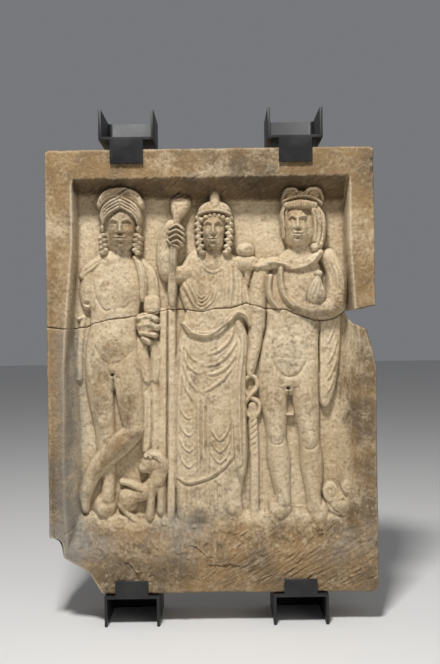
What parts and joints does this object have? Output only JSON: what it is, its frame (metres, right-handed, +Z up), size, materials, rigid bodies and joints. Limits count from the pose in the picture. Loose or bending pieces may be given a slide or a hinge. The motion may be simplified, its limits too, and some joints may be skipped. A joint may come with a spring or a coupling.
{
  "type": "stone relief panel",
  "caption": "Carved marble relief panel with standing draped and nude figures in a sunk field, broken across and held to a wall by steel brackets.",
  "frame": {"origin": "on the wall plane, in the middle of the stone's flat back", "axes": "+Z up, +X to the viewer's right, +Y into the wall; the carved face looks along -Y"},
  "size_m": [0.6, 0.1253, 0.9383],
  "materials": {
    "marble": "weathered cream marble with ochre patina, tool marks and soil in the hollows",
    "black_steel": "satin black paint"
  },
  "bodies": {
    "root": {"upper_fragment": "marble", "lower_fragment": "marble", "top_left_bracket": "black_steel", "top_right_bracket": "black_steel", "bottom_left_bracket": "black_steel", "bottom_right_bracket": "black_steel"}
  },
  "joints": []
}
